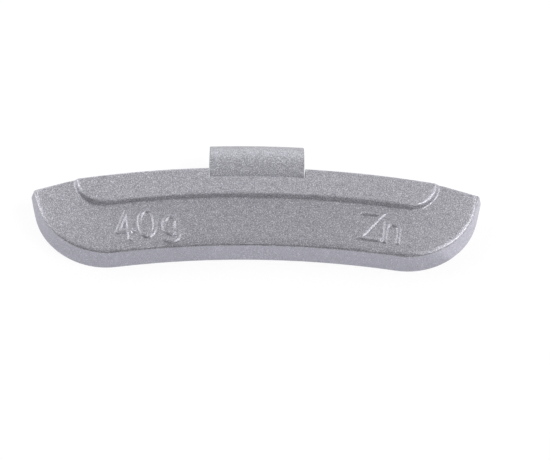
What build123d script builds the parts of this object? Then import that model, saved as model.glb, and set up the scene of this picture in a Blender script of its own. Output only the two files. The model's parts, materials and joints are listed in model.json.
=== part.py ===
"""Clip-on wheel balance weight: a curved zinc casting with a spring clip cast into its upper edge.

The weight lies on its back, as it comes to rest: on the two lower corners of the casting and the heel of
the clip. X runs along the weight, Y points from the wheel's centre to its rim and Z is up.
"""

import os
from math import acos, asin, atan2, cos, degrees, hypot, isclose, radians, sin, sqrt, tan

from build123d import *

os.makedirs("parts", exist_ok=True)

# Rim: half of a 14-inch bead seat, and the flange that stands above it
bead_seat_radius = 177.8
flange_height = 17.5

# Casting, seen from the front
body_height = 15.4
end_spacing = 55.5
end_radius = 13.75
end_flare = 16.5
flank_start = 34.6
flank_slope = 17

# Casting, in section
base_thickness = 5.1
wall_draft = 8
edge_radius = 0.36
tip_radius = 0.54
margin_width = 1.2
margin_drop = 0.28
back_round_radius = 16.0
back_round_depth = 3.0

# Raised band along the upper edge
band_rise = 0.85
band_depth = 5.85
band_end_spacing = 56.8
band_end_radius = 5.2
band_draft = 25
band_edge_radius = 0.9
band_root_radius = 0.5

# Notch that the clip stands in
notch_depth = 1.9
notch_gap = 0.2

# Spring clip, bent from strip
clip_width = 17.4
strip = 1.0
hook_radius = 5.4
hook_rise = 6.35
hook_proud = 0.2
heel_radius = 3.4
heel_start = 110
leg_lean = 20
leg_length = 3.0
flare_radius = 1.2
flare_turn = 40
tip_corner = 0.7

# Part of the clip inside the casting
tang_set_back = 2.1
tang_bend_radius = 1.2
tang_length = 9.5
key_diameter = 3.0
key_spacing = 9.0
key_edge = 3.0

# Sizes that follow, in section: "out" is towards the front, "up" is away from the wheel's centre, and both
# start where the upper front edge would meet the back face at mid-length
rim_radius = bead_seat_radius + flange_height
front_out = base_thickness + band_rise
draft_rate = tan(radians(wall_draft))

hook_out = front_out + hook_proud - hook_radius
hook_up = hook_rise - hook_radius
heel_out = hook_out + (hook_radius - heel_radius) * cos(radians(heel_start))
heel_up = hook_up + (hook_radius - heel_radius) * sin(radians(heel_start))
tang_out = front_out - tang_set_back
tang_turn = degrees(acos((tang_out + tang_bend_radius - hook_out) / (hook_radius + tang_bend_radius)))
tang_top = hook_up - (hook_radius + tang_bend_radius) * sin(radians(tang_turn))

bottom_radius = rim_radius - body_height - base_thickness * draft_rate
top_radius = rim_radius + front_out * draft_rate
end_x = end_spacing / 2
end_up = sqrt((bottom_radius + end_radius) ** 2 - end_x**2) - rim_radius
foot_up = end_up - end_radius
foot_turn = degrees(asin(end_x / (bottom_radius + end_radius)))

round_end = (front_out - back_round_depth) * draft_rate
round_start = round_end - sqrt(back_round_radius**2 - (back_round_radius - back_round_depth) ** 2)

band_bottom = rim_radius - band_depth
band_x = band_end_spacing / 2
band_up = sqrt((band_bottom + band_end_radius) ** 2 - band_x**2) - rim_radius

# How it lies: both feet of the casting and the sides of the clip's heel touch the same level surface
heel_side_up = sqrt((rim_radius + heel_up) ** 2 - (clip_width / 2) ** 2) - rim_radius
heel_reach = hypot(heel_out, heel_side_up - foot_up)
lie_angle = asin(heel_radius / heel_reach) - atan2(heel_out, heel_side_up - foot_up)
edge_out = base_thickness - edge_radius
edge_up = foot_up + (edge_radius + edge_out * sin(radians(wall_draft))) / cos(radians(wall_draft))
near_y = edge_up * cos(lie_angle) - edge_out * sin(lie_angle) - edge_radius
far_y = hook_up * cos(lie_angle) - hook_out * sin(lie_angle) + hook_radius

back_plane = Plane(
    origin=(0, -(near_y + far_y) / 2, -foot_up * sin(lie_angle)),
    x_dir=(1, 0, 0),
    z_dir=(0, -sin(lie_angle), cos(lie_angle)),
)
base_plane = back_plane.offset(base_thickness)
up_axis = Axis(back_plane.origin, back_plane.y_dir)
far_rim = back_plane.from_local_coords(Vector(0, -2 * rim_radius, 0))
section_plane = Plane(origin=far_rim, x_dir=back_plane.z_dir, z_dir=(1, 0, 0))
wheel_axis = Axis(back_plane.from_local_coords(Vector(0, -rim_radius, 0)), back_plane.z_dir)


def on_wheel_circle(radius, x):
    """Point at x on a circle about the wheel axis, in the plane of the front view."""
    return (x, sqrt(radius**2 - x**2) - rim_radius)


def touch_point(wheel_radius, radius, x, up):
    """Point where a circle at (x, up) touches a circle about the wheel axis from outside."""
    share = wheel_radius / (wheel_radius + radius)
    return (x * share, (up + rim_radius) * share - rim_radius)


with BuildPart() as rim_clip:
    with BuildSketch(section_plane):
        with BuildLine():
            tang = Line((tang_out, -tang_length), (tang_out, tang_top))
            tang_bend = JernArc(tang @ 1, tang % 1, tang_bend_radius, -tang_turn)
            hook = JernArc(tang_bend @ 1, tang_bend % 1, hook_radius, tang_turn + heel_start)
            heel = JernArc(hook @ 1, hook % 1, heel_radius, 180 + leg_lean - heel_start)
            leg = Line(heel @ 1, heel @ 1 + (heel % 1) * leg_length)
            JernArc(leg @ 1, leg % 1, flare_radius, -flare_turn)
            offset(amount=strip, side=Side.LEFT)
        make_face()
    revolve(axis=wheel_axis)
    with BuildSketch(back_plane):
        with Locations((0, -rim_radius)):
            Rectangle(clip_width, 2 * rim_radius, align=(Align.CENTER, Align.MIN))
    extrude(amount=rim_radius, both=True, mode=Mode.INTERSECT)
    with BuildSketch(back_plane):
        with Locations((0, key_edge - tang_length)):
            with GridLocations(key_spacing, 0, 2, 1):
                Circle(key_diameter / 2)
    extrude(amount=front_out, mode=Mode.SUBTRACT)
    corners = edges().filter_by(lambda edge: isclose(edge.length, strip, rel_tol=0.01))
    fillet(corners.sort_by(up_axis)[-2:], tip_corner)

with BuildPart() as weight_body:
    with BuildSketch(back_plane):
        with BuildLine():
            flank_fall = (cos(radians(flank_slope)), -sin(radians(flank_slope)))
            shoulder = on_wheel_circle(top_radius, flank_start)
            top = TangentArc((0, top_radius - rim_radius), shoulder, tangent=(1, 0))
            foot = touch_point(bottom_radius, end_radius, end_x, end_up)
            bottom = TangentArc((0, bottom_radius - rim_radius), foot, tangent=(1, 0))
            end = JernArc(bottom @ 1, bottom % 1, end_radius, foot_turn + 90 - end_flare)
            end_side = Line(end @ 1, end @ 1 + (end % 1) * body_height, mode=Mode.PRIVATE)
            flank = IntersectingLine(top @ 1, flank_fall, end_side)
            Line(end @ 1, flank @ 1)
            mirror(about=Plane.YZ)
        make_face()
    extrude(amount=front_out)
    draft(faces().filter_by(wheel_axis, reverse=True), back_plane, wall_draft)

    # Raised band: all the rest of the face is cut down to the base plane
    with BuildSketch(base_plane):
        Rectangle(2 * rim_radius, 2 * rim_radius)
        with BuildLine():
            corner = touch_point(band_bottom, band_end_radius, band_x, band_up)
            lower = TangentArc((0, -band_depth), corner, tangent=(1, 0))
            band_end = TangentArc(lower @ 1, (band_x + band_end_radius, band_up), tangent=lower % 1)
            Polyline(band_end @ 1, (band_x + band_end_radius, body_height), (0, body_height))
            mirror(about=Plane.YZ)
        make_face(mode=Mode.SUBTRACT)
    extrude(amount=band_rise, mode=Mode.SUBTRACT)
    draft(faces().filter_by(GeomType.CYLINDER), base_plane, band_draft)

    # Lower margin of the face, rolled off towards the bottom edge
    with BuildSketch(section_plane):
        with BuildLine():
            margin = TangentArc(
                (base_thickness, margin_width - body_height),
                (base_thickness - margin_drop, -body_height),
                tangent=(0, -1),
            )
            run_out = Line(margin @ 1, margin @ 1 + (margin % 1) * base_thickness)
            Polyline(
                run_out @ 1,
                (2 * base_thickness, (run_out @ 1).Y),
                (2 * base_thickness, (margin @ 0).Y),
                margin @ 0,
            )
        make_face()
    revolve(axis=wheel_axis, mode=Mode.SUBTRACT)

    # Edges: the band's root and rim, the two tips, then the front edge all the way round
    back_face, base_face, band_face = faces().filter_by(wheel_axis).sort_by(wheel_axis)
    walls = faces().filter_by(lambda face: face.distance_to(back_face) == 0)
    root = base_face.edges() - walls.edges()
    band_edge = band_face.edges() - walls.edges()
    fillet(root.sort_by(Axis.X), band_root_radius)
    fillet(band_edge.sort_by(Axis.X), band_edge_radius)

    back_face = faces().filter_by(wheel_axis).sort_by(wheel_axis)[0]
    walls = faces().filter_by(lambda face: face.distance_to(back_face) == 0).sort_by(up_axis)
    *lower_walls, left_flank, right_flank, top_wall = walls
    flank_edges = left_flank.edges() + right_flank.edges()
    tip_edges = flank_edges & ShapeList(lower_walls).edges()
    fillet(tip_edges.sort_by(Axis.X), tip_radius)

    back_face = faces().filter_by(wheel_axis).sort_by(wheel_axis)[0]
    walls = faces().filter_by(lambda face: face.distance_to(back_face) == 0)
    front_edges = walls.edges().filter_by_position(wheel_axis, base_thickness - 2 * margin_drop, front_out)
    fillet(front_edges.sort_by(Axis.X), edge_radius)

    # Rounded upper edge of the back
    with BuildSketch(section_plane):
        with BuildLine():
            rounding = TangentArc((0, round_start), (back_round_depth, round_end), tangent=(0, 1))
            Polyline(
                rounding @ 1,
                (back_round_depth, body_height),
                (-body_height, body_height),
                (-body_height, round_start),
                rounding @ 0,
            )
        make_face()
    revolve(axis=wheel_axis, mode=Mode.SUBTRACT)

    # Notch, and the bed that the clip's tang fills
    with BuildSketch(back_plane):
        with BuildLine():
            half = clip_width / 2 + notch_gap
            floor = on_wheel_circle(rim_radius - notch_depth, half)
            floor_arc = TangentArc((0, -notch_depth), floor, tangent=(1, 0))
            Polyline(floor_arc @ 1, (half, notch_depth), (0, notch_depth))
            mirror(about=Plane.YZ)
        make_face()
    extrude(amount=front_out, mode=Mode.SUBTRACT)
    add(rim_clip.part, mode=Mode.SUBTRACT)

for name, piece in (("weight_body", weight_body), ("rim_clip", rim_clip)):
    piece.part.label = name
    export_step(piece.part, f"parts/{name}.step")
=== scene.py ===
import json
from math import cos, radians, sin

import bmesh
import bpy
from mathutils import Matrix, Vector


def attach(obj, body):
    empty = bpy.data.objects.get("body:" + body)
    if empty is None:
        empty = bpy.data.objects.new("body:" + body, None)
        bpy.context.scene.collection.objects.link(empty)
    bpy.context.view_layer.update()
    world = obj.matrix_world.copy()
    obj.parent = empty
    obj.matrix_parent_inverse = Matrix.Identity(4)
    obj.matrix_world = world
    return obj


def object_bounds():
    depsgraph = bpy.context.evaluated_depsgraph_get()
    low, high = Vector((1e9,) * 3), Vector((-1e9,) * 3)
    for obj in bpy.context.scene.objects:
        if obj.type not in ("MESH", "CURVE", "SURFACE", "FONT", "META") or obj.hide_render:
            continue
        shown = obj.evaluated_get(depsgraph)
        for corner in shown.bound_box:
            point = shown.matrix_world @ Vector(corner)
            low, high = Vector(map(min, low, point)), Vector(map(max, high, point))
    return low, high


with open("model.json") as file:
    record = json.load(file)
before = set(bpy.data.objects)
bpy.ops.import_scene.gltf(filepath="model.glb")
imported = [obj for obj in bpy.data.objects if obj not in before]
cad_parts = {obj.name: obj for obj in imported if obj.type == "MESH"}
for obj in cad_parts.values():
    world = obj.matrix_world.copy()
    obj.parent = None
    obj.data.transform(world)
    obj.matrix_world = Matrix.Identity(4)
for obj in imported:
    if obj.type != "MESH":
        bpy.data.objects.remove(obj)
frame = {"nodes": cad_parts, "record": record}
cad_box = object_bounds()

# Axes of the visible face: along the weight, out of the face, and up it, away from the wheel's centre
back_face = next(mount for mount in frame["record"]["mounts"] if mount["name"] == "back_face")
face_along = Vector((1, 0, 0))
face_out = -Vector(back_face["axis"])
face_up = face_out.cross(face_along)
back_level = Vector(back_face["pos_m"]).dot(face_out)

# Camera: it looks down on the lower edge of the face, a little from the left
IMAGE_WIDTH = 550
SENSOR_WIDTH = 36.0
CAMERA_AZIMUTH = radians(-3.3)
CAMERA_ELEVATION = radians(54.482)
CAMERA_ROLL = radians(-3.463)
CAMERA_DISTANCE = 0.65
CAMERA_NEAR = 0.01
PIXELS_PER_METRE = 5415
AIM_RIGHT = 0.00338
AIM_UP = -0.005167

# Silver-grey coat, in linear colour; the casting's drafted sides get a lighter, slightly bluer copy of it,
# painted light for the bright floor they face
COAT_COLOUR = (0.330, 0.326, 0.357)
SIDE_PAINTED_LIGHT_COLOUR = (0.392, 0.388, 0.445)
CLIP_COLOUR = (0.333, 0.333, 0.363)
METALLIC = 0.8
ROUGHNESS = 0.45

# Grain of the coat: fine speckle with a few brighter grains, soft clouds and a slight relief
GRAIN_SCALE = 6500
CLOUD_SCALE = 1100
NOISE_REACH = 0.2
GRAIN_TINT = 0.56
GRAIN_SPARK = 0.5
CLOUD_TINT = 0.05
SIDE_GRAIN = 0.55
RELIEF_STRENGTH = 0.25
RELIEF_DEPTH = 0.00003

# A surface counts as a side, as the band's slope or as the front by how far its normal points out of the face
SIDE_FACING = 0.2
FRONT_FACING = 0.4
SLOPE_FACING = 0.5
LEVEL_FACING = 0.95

# Painted light and shade on the front: the coat's level on the face, which is a painted shade, the painted
# light that grows towards its ends, and the painted light on the raised band and on the band's slope
FACE_PAINTED_SHADE = 0.9
END_PAINTED_LIGHT = 0.235
END_REACH = 0.04
END_POWER = 2.5
BAND_PAINTED_LIGHT = 1.08
SLOPE_PAINTED_LIGHT = 0.3

# Heights: the face and the top of the band above the back, and the start of the band's slope above the face
FACE_HEIGHT = 0.0051
BAND_HEIGHT = 0.00595
SLOPE_START = 0.00004

# Rim of the face, rolled off round the centre of each round end, and the clip's rounded edges
END_X = 0.02775
END_UP = 0.001906
ROLL_START = 0.0120
ROLL_END = 0.0128
ROLL_DROP = 0.00013
CLIP_EDGE = 0.00025
CLIP_EDGE_SAMPLES = 8

# Raised marks: the mass in grams and zinc's symbol, each sign with its left edge in millimetres, and the
# angle about the wheel's axis at which the mark lies
MARKS = (
    ("mass_mark", (("4", -5.0), ("0", -0.9), ("g", 3.5)), radians(-6.3)),
    ("metal_mark", (("Z", -3.7), ("n", 1.03)), radians(6.9)),
)
MARK_RADIUS = 0.1853
MARK_UP = -0.0072
MILLIMETRES_PER_METRE = 1000

# Ridge along a stroke: its flat top, each sloping side, its rise, its sunk foot and the limit of its mitres
MARK_STROKE = 0.00034
MARK_FOOT = 0.00045
MARK_RISE = 0.00023
MARK_SINK = 0.00004
MARK_MITRE = 0.5
MARK_VOXEL = 0.00006
MARK_SMOOTHING = 3

# Floor, mostly plain white to the eye
FLOOR_SIZE = 4.0
FLOOR_COLOUR = 0.95
FLOOR_WHITE_SHARE = 0.9

# Light: directions, sharpness and strengths of the surround's bright parts, and the lamps at both ends
SURROUND = (
    ((0.0, -0.82, 0.57), 6, 0.32),
    ((0.0, 0.57, 0.82), 6, 0.85),
    ((0.0, 0.91, 0.42), 6, 1.0),
    ((0.0, 1.0, 0.03), 6, 1.0),
    ((-0.66, 0.14, 0.72), 40, 6.1),
    ((0.58, -0.25, 0.78), 40, 12.6),
)
LAMPS = (("lamp_left", (-0.25, 0.08, 0.11), 0.24), ("lamp_right", (0.25, 0.06, 0.11), 0.18))
LAMP_SIZE = 0.22

# Low card of light that lies close to the floor, from just under the right end outwards
CARD_START = 0.036
CARD_WIDTH = 0.2
CARD_DEPTH = 0.3
CARD_RISE = 0.0002
CARD_POWER = 0.07


def add_node(tree, kind, inputs=None, **settings):
    """Adds a shader node; an input is a plain value or the socket that feeds it."""
    made = tree.nodes.new(kind)
    for name, value in settings.items():
        setattr(made, name, value)
    for name, value in (inputs or {}).items():
        if isinstance(value, bpy.types.NodeSocket):
            tree.links.new(value, made.inputs[name])
        else:
            made.inputs[name].default_value = value
    return made


def new_material(name):
    """An empty material and its node tree."""
    material = bpy.data.materials.new(name)
    material.use_nodes = True
    material.node_tree.nodes.clear()
    return material, material.node_tree


def calc(tree, operation, *values):
    """One step of arithmetic on plain values or sockets."""
    return add_node(tree, "ShaderNodeMath", dict(enumerate(values)), operation=operation).outputs[0]


def dot(tree, vector, direction):
    """How far a vector reaches along a fixed direction."""
    pair = {0: vector, 1: direction}
    return add_node(tree, "ShaderNodeVectorMath", pair, operation="DOT_PRODUCT").outputs["Value"]


def blend(tree, value, low, high, at_low, at_high):
    """Runs from one level to another as a value runs from low to high, and stays level outside."""
    span = {"Value": value, "From Min": low, "From Max": high, "To Min": at_low, "To Max": at_high}
    return add_node(tree, "ShaderNodeMapRange", span).outputs[0]


def centred_noise(tree, place, scale):
    """Noise that runs from about minus one to one."""
    noise = add_node(tree, "ShaderNodeTexNoise", {"Vector": place, "Scale": scale, "Detail": 1.0})
    level = {"Value": noise.outputs["Fac"], "From Min": 0.5 - NOISE_REACH, "From Max": 0.5 + NOISE_REACH}
    spread = add_node(tree, "ShaderNodeMapRange", {**level, "To Min": -1.0, "To Max": 1.0}, clamp=False)
    return spread.outputs[0]


def place_on_part(tree):
    """Place in the casting's own frame, the same for every piece."""
    return add_node(tree, "ShaderNodeTexCoord", object=frame["nodes"]["weight_body"]).outputs["Object"]


def distance_across(tree, place):
    """How far a place lies from the weight's middle, to either side."""
    return calc(tree, "ABSOLUTE", add_node(tree, "ShaderNodeSeparateXYZ", {0: place}).outputs["X"])


def height_out(tree, place):
    """How far a place lies in front of the back face."""
    return calc(tree, "SUBTRACT", dot(tree, place, face_out), back_level)


def side_or_front(tree, facing, on_side, on_front):
    """One level on the casting's sides and another on its front."""
    return blend(tree, facing, SIDE_FACING, FRONT_FACING, on_side, on_front)


def front_painted_light(tree, place, facing):
    """Level of the coat on the front, as painted light and shade: lighter on the band, on its slope, and on
    the face towards the ends.
    """
    # Painted shade in the face's middle and painted light towards its ends
    reach = calc(tree, "POWER", calc(tree, "DIVIDE", distance_across(tree, place), END_REACH), END_POWER)
    face = calc(tree, "MULTIPLY_ADD", reach, END_PAINTED_LIGHT, FACE_PAINTED_SHADE)
    height = height_out(tree, place)
    # Painted light: the raised band is lighter than the face
    level = blend(tree, height, FACE_HEIGHT, BAND_HEIGHT, face, BAND_PAINTED_LIGHT)
    # Painted light on the band's slope, which lightens its shade
    raised_painted_light = blend(tree, height, FACE_HEIGHT, FACE_HEIGHT + SLOPE_START, 0.0, SLOPE_PAINTED_LIGHT)
    sloping = blend(tree, facing, SLOPE_FACING, LEVEL_FACING, 1.0, 0.0)
    return calc(tree, "MULTIPLY_ADD", raised_painted_light, sloping, level)


def rolled_ends(tree, place):
    """Normal of the face with its rim round both ends rolled off; the back is left as it is."""
    across = calc(tree, "MAXIMUM", calc(tree, "SUBTRACT", distance_across(tree, place), END_X), 0.0)
    down = calc(tree, "MAXIMUM", calc(tree, "SUBTRACT", END_UP, dot(tree, place, face_up)), 0.0)
    reach = calc(tree, "SQRT", calc(tree, "MULTIPLY_ADD", across, across, calc(tree, "MULTIPLY", down, down)))
    past = blend(tree, reach, ROLL_START, ROLL_END, 0.0, 1.0)
    deepest = blend(tree, height_out(tree, place), 0.0, FACE_HEIGHT, 0.0, -ROLL_DROP)
    drop = calc(tree, "MULTIPLY", calc(tree, "MULTIPLY", past, past), deepest)
    roll = {"Height": drop, "Strength": 1.0, "Distance": 1.0}
    return add_node(tree, "ShaderNodeBump", roll).outputs["Normal"]


def grain_and_speckle(tree, place):
    """The coat's fine grain, and the speckle that the grain and the clouds give its colour."""
    grain = centred_noise(tree, place, GRAIN_SCALE)
    cloud = calc(tree, "MULTIPLY", centred_noise(tree, place, CLOUD_SCALE), CLOUD_TINT)
    spark = calc(tree, "MULTIPLY", grain, calc(tree, "MULTIPLY_ADD", grain, GRAIN_SPARK, 1.0))
    return grain, calc(tree, "MULTIPLY_ADD", spark, GRAIN_TINT, cloud)


def finish_coat(tree, colour, level, speckle, grain, normal):
    """Metallic surface of a colour at a level, with its speckle and with the grain as a slight relief."""
    shade = calc(tree, "MULTIPLY_ADD", speckle, level, level)
    tint = add_node(tree, "ShaderNodeVectorMath", {0: colour, "Scale": shade}, operation="SCALE")
    bumps = {"Height": grain, "Strength": RELIEF_STRENGTH, "Distance": RELIEF_DEPTH, "Normal": normal}
    relief = add_node(tree, "ShaderNodeBump", bumps)
    coat = {"Base Color": tint.outputs["Vector"], "Metallic": METALLIC, "Roughness": ROUGHNESS}
    surface = add_node(tree, "ShaderNodeBsdfPrincipled", {**coat, "Normal": relief.outputs["Normal"]})
    add_node(tree, "ShaderNodeOutputMaterial", {"Surface": surface.outputs["BSDF"]})


def casting_coat():
    """Coat of the casting and its marks: smoother on the sides, with painted light that makes the sides
    lighter, and painted light and shade by place in front.
    """
    material, tree = new_material("coat")
    place = place_on_part(tree)
    grain, speckle = grain_and_speckle(tree, place)
    facing = dot(tree, add_node(tree, "ShaderNodeNewGeometry").outputs["True Normal"], face_out)
    speckle = calc(tree, "MULTIPLY", speckle, side_or_front(tree, facing, SIDE_GRAIN, 1.0))
    level = side_or_front(tree, facing, 1.0, front_painted_light(tree, place, facing))
    # Painted light: the sides take the lighter side colour
    side_painted_light_share = side_or_front(tree, facing, 1.0, 0.0)
    mixed = {0: side_painted_light_share, 1: Vector(SIDE_PAINTED_LIGHT_COLOUR) - Vector(COAT_COLOUR), 2: COAT_COLOUR}
    colour = add_node(tree, "ShaderNodeVectorMath", mixed, operation="MULTIPLY_ADD").outputs["Vector"]
    finish_coat(tree, colour, level, speckle, grain, rolled_ends(tree, place))
    return material


def clip_coat():
    """Coat of the clip, whose edges look rounded."""
    material, tree = new_material("clip_coat")
    grain, speckle = grain_and_speckle(tree, place_on_part(tree))
    rounded = add_node(tree, "ShaderNodeBevel", {"Radius": CLIP_EDGE}, samples=CLIP_EDGE_SAMPLES)
    finish_coat(tree, CLIP_COLOUR, 1.0, speckle, grain, rounded.outputs["Normal"])
    return material


def floor_material():
    """White sheet: mostly plain white to the eye and to reflections, and it keeps a soft shadow."""
    material, tree = new_material("floor_white")
    path = add_node(tree, "ShaderNodeLightPath").outputs
    seen = calc(tree, "MAXIMUM", path["Is Camera Ray"], path["Is Glossy Ray"])
    seen = calc(tree, "MAXIMUM", seen, path["Is Transmission Ray"])
    share = calc(tree, "MULTIPLY", seen, FLOOR_WHITE_SHARE)
    white = add_node(tree, "ShaderNodeEmission", {"Color": (1, 1, 1, 1), "Strength": 1.0})
    paper = add_node(tree, "ShaderNodeBsdfDiffuse", {"Color": (FLOOR_COLOUR, FLOOR_COLOUR, FLOOR_COLOUR, 1)})
    mixed = add_node(tree, "ShaderNodeMixShader", {0: share, 1: paper.outputs[0], 2: white.outputs[0]})
    add_node(tree, "ShaderNodeOutputMaterial", {"Surface": mixed.outputs[0]})
    return material


def dress(node, material):
    """Gives a node of the frame one material and leaves its mesh as it is."""
    mesh = frame["nodes"][node].data
    mesh.materials.clear()
    mesh.materials.append(material)


def arc(centre, across, high, start, end, count=24):
    """Points on an ellipse, from one angle to another in degrees."""
    turns = [radians(start + (end - start) * i / count) for i in range(count + 1)]
    return [(centre[0] + across * cos(turn), centre[1] + high * sin(turn)) for turn in turns]


def glyph_strokes(sign, left):
    """Centre lines of one sign in millimetres, on a base line at zero and starting at the given left."""
    strokes = {
        "4": [[(1.9, 5.9), (0, 1.95), (3.2, 1.95)], [(2.15, 5.9), (2.15, 0.2)]],
        "0": [arc((1.42, 3.12), 1.42, 2.62, 90, 450, 48)],
        "g": [
            arc((1.25, 2.4), 1.25, 1.7, 0, 360, 40),
            [(2.5, 4.1), (2.5, 0.1)] + arc((1.2, 0.1), 1.3, 0.9, 0, -150),
        ],
        "Z": [[(0.1, 5.75), (3.8, 5.75), (0.2, 0.65), (3.8, 0.65)]],
        "n": [[(0, 4.3), (0, 0.4)], [(0, 2.9)] + arc((1.21, 2.95), 1.21, 1.2, 180, 0) + [(2.42, 0.4)]],
    }[sign]
    return [[(x + left, y) for x, y in stroke] for stroke in strokes]


def add_ridge(mesh, stroke):
    """A flat-topped ridge with sloping sides along a centre line, closed at both ends."""
    points = [Vector(point) / MILLIMETRES_PER_METRE for point in stroke]
    runs = [(after - before).normalized() for before, after in zip(points, points[1:])]
    rings = []
    for i, point in enumerate(points):
        before, after = runs[max(i - 1, 0)], runs[min(i, len(runs) - 1)]
        heading = (before + after).normalized()
        side = Vector((-heading.y, heading.x)) / max(heading.dot(after), MARK_MITRE)
        top, foot = side * MARK_STROKE / 2, side * (MARK_STROKE / 2 + MARK_FOOT)
        run_out = heading * MARK_FOOT * ((i == len(points) - 1) - (i == 0))
        corners = (
            (run_out - foot, -MARK_SINK),
            (-top, MARK_RISE),
            (top, MARK_RISE),
            (run_out + foot, -MARK_SINK),
        )
        rings.append([mesh.verts.new((*(point + shift), rise)) for shift, rise in corners])
    for ring, following in zip(rings, rings[1:]):
        for i in range(len(ring)):
            after = (i + 1) % len(ring)
            mesh.faces.new((ring[i], ring[after], following[after], following[i]))
    mesh.faces.new(rings[0])
    mesh.faces.new(reversed(rings[-1]))


def mark_place(angle):
    """Where a mark sits on the face, at an angle about the wheel's axis and turned to follow the curve."""
    outward = face_along * sin(angle) + face_up * cos(angle)
    above = face_up * MARK_UP - face_up * MARK_RADIUS + outward * MARK_RADIUS + face_out
    _, spot, _, _ = frame["nodes"]["weight_body"].ray_cast(above, -face_out)
    turn = Matrix.Rotation(-angle, 3, face_out)
    axes = Matrix((turn @ face_along, turn @ face_up, face_out)).transposed().to_4x4()
    return Matrix.Translation(spot) @ axes


def make_mark(name, signs, angle, material):
    """Raised signs on the face, with their strokes joined and softened into one closed mesh."""
    mesh = bmesh.new()
    for sign, left in signs:
        for stroke in glyph_strokes(sign, left):
            add_ridge(mesh, stroke)
    bmesh.ops.recalc_face_normals(mesh, faces=mesh.faces)
    data = bpy.data.meshes.new(name)
    mesh.to_mesh(data)
    mesh.free()
    data.materials.append(material)
    mark = bpy.data.objects.new(name, data)
    bpy.context.scene.collection.objects.link(mark)
    mark.matrix_world = mark_place(angle)

    join = mark.modifiers.new("join", "REMESH")
    join.mode = "VOXEL"
    join.voxel_size = MARK_VOXEL
    join.use_smooth_shade = True
    soften = mark.modifiers.new("soften", "SMOOTH")
    soften.iterations = MARK_SMOOTHING
    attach(mark, "root")


def make_floor():
    """Level sheet that the weight lies on."""
    bpy.ops.mesh.primitive_plane_add(size=FLOOR_SIZE, location=(0, 0, cad_box[0].z))
    floor = bpy.context.object
    floor.name = "floor"
    floor.data.materials.append(floor_material())


def make_lamp(name, place, facing, width, depth, power):
    """Soft rectangular lamp at a place, facing a direction."""
    lamp = bpy.data.lights.new(name, "AREA")
    lamp.shape = "RECTANGLE"
    lamp.size = width
    lamp.size_y = depth
    lamp.energy = power
    holder = bpy.data.objects.new(name, lamp)
    bpy.context.scene.collection.objects.link(holder)
    holder.location = place
    holder.rotation_euler = Vector(facing).to_track_quat("-Z", "Y").to_euler()
    return holder


def make_lamps():
    """A low lamp at each end that faces the object, and the card, which faces up and isn't seen itself."""
    for name, place, power in LAMPS:
        make_lamp(name, place, -Vector(place), LAMP_SIZE, LAMP_SIZE, power)
    card_place = (CARD_START + CARD_WIDTH / 2, 0, CARD_RISE)
    card = make_lamp("card_right", card_place, (0, 0, 1), CARD_WIDTH, CARD_DEPTH, CARD_POWER)
    card.visible_camera = False


def make_surround():
    """Soft surround with bright parts in front, behind and on both sides."""
    world = bpy.context.scene.world or bpy.data.worlds.new("world")
    bpy.context.scene.world = world
    world.use_nodes = True
    tree = world.node_tree
    tree.nodes.clear()
    view = add_node(tree, "ShaderNodeTexCoord").outputs["Generated"]
    strength = 0.0
    for direction, sharpness, level in SURROUND:
        toward = calc(tree, "MAXIMUM", dot(tree, view, Vector(direction).normalized()), 0.0)
        strength = calc(tree, "MULTIPLY_ADD", calc(tree, "POWER", toward, sharpness), level, strength)
    sky = add_node(tree, "ShaderNodeBackground", {"Color": (1, 1, 1, 1), "Strength": strength})
    add_node(tree, "ShaderNodeOutputWorld", {"Surface": sky.outputs[0]})


def make_camera():
    """Camera at the photograph's angle, aimed so that the object lies where it does there."""
    back = Vector(
        (
            sin(CAMERA_AZIMUTH) * cos(CAMERA_ELEVATION),
            -cos(CAMERA_AZIMUTH) * cos(CAMERA_ELEVATION),
            sin(CAMERA_ELEVATION),
        )
    )
    level_right = Vector((cos(CAMERA_AZIMUTH), sin(CAMERA_AZIMUTH), 0))
    right = Matrix.Rotation(-CAMERA_ROLL, 3, back) @ level_right
    up = back.cross(right)
    aim = (cad_box[0] + cad_box[1]) / 2 + right * AIM_RIGHT + up * AIM_UP
    lens = bpy.data.cameras.new("camera")
    lens.sensor_width = SENSOR_WIDTH
    lens.lens = PIXELS_PER_METRE * CAMERA_DISTANCE * SENSOR_WIDTH / IMAGE_WIDTH
    lens.clip_start = CAMERA_NEAR
    camera = bpy.data.objects.new("camera", lens)
    bpy.context.scene.collection.objects.link(camera)
    turn = Matrix((right, up, back)).transposed().to_4x4()
    camera.matrix_world = Matrix.Translation(aim + back * CAMERA_DISTANCE) @ turn
    bpy.context.scene.camera = camera


coat = casting_coat()
dress("weight_body", coat)
dress("rim_clip", clip_coat())
for name, signs, angle in MARKS:
    make_mark(name, signs, angle, coat)
make_floor()
make_lamps()
make_surround()
make_camera()
bpy.context.scene.view_settings.view_transform = "Standard"
